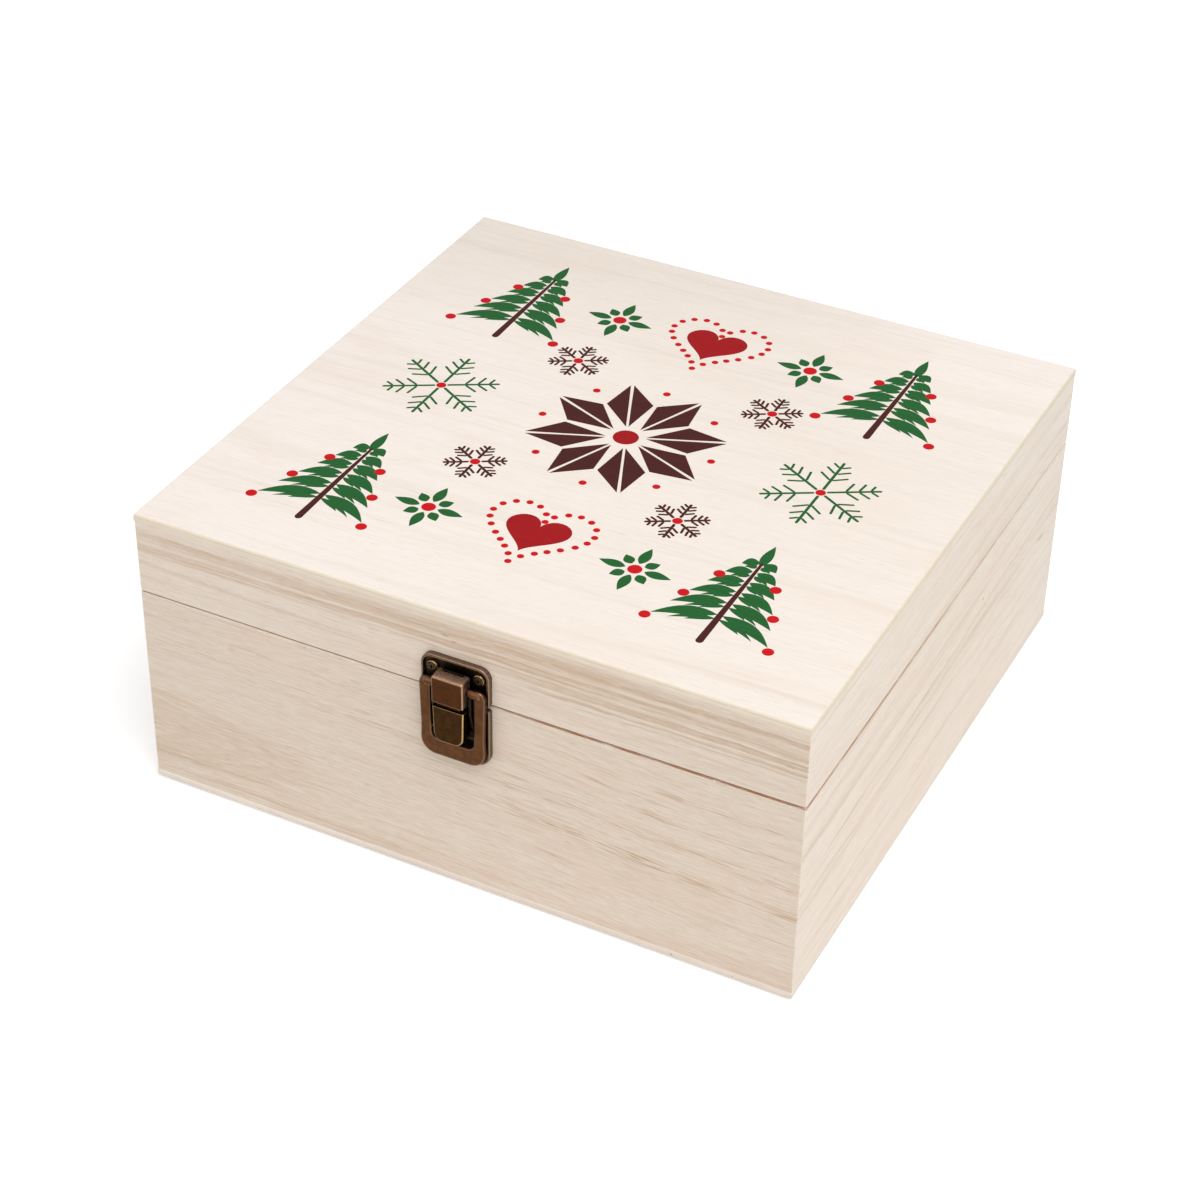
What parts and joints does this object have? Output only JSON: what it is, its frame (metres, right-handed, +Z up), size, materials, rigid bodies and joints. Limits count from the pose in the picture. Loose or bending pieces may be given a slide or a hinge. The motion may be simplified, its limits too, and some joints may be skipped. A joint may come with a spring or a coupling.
{
  "type": "keepsake box",
  "caption": "Square wooden keepsake box with mitred walls, a lid hinged at the back and an over-centre toggle latch on the front.",
  "frame": {"origin": "middle of the underside of the bottom panel, on the surface that the box stands on", "axes": "+Z up, -Y out of the front with the latch, +X to the right as seen from the front"},
  "size_m": [0.3, 0.311, 0.1375],
  "materials": {
    "wall_wood": "bare sanded pale softwood boards",
    "panel_wood": "bare sanded pale plywood",
    "aged_bronze": "dark antique bronze plating, rubbed at the edges",
    "rubbed_bronze": "antique bronze plating, rubbed through to brass",
    "screw_bronze": "antique bronze screw heads with rubbed rims",
    "pin_steel": "bright steel panel pins"
  },
  "bodies": {
    "box_body": {"body_front_wall": "wall_wood", "body_right_wall": "wall_wood", "body_back_wall": "wall_wood", "body_left_wall": "wall_wood", "bottom_panel": "panel_wood", "bottom_brads": "pin_steel", "latch_base_plate": "aged_bronze", "lever_rivets": "aged_bronze", "latch_base_screws": "screw_bronze", "hinge_body_screws": "screw_bronze", "left_hinge_body_leaf": "aged_bronze", "left_hinge_pin": "aged_bronze", "right_hinge_body_leaf": "aged_bronze", "right_hinge_pin": "aged_bronze"},
    "lid": {"lid_front_wall": "wall_wood", "lid_right_wall": "wall_wood", "lid_back_wall": "wall_wood", "lid_left_wall": "wall_wood", "lid_top_panel": "panel_wood", "keeper_plate": "aged_bronze", "keeper_screws": "screw_bronze", "left_hinge_lid_leaf": "aged_bronze", "right_hinge_lid_leaf": "aged_bronze", "hinge_lid_screws": "screw_bronze"},
    "lever": {"latch_lever": "aged_bronze", "link_pin": "aged_bronze"},
    "draw_link": {"link_sleeve": "rubbed_bronze", "draw_hook": "aged_bronze"}
  },
  "joints": [
    {"name": "lid_hinge", "type": "hinge", "parent": "box_body", "child": "lid", "pos_m": [0, 0.1495, 0.0992], "axis": [-1, 0, 0], "range_deg": [0, 105]},
    {"name": "lever_flip", "type": "hinge", "parent": "box_body", "child": "lever", "pos_m": [0.0006, -0.1514, 0.1058], "axis": [-1, 0, 0], "range_deg": [0, 110]},
    {"name": "link_swing", "type": "hinge", "parent": "lever", "child": "draw_link", "pos_m": [0.0006, -0.1513, 0.0841], "axis": [-1, 0, 0], "range_deg": [-110, 0]}
  ],
  "couplings": [
    {"joint": "link_swing", "follows": "lever_flip", "ratio": -1}
  ]
}
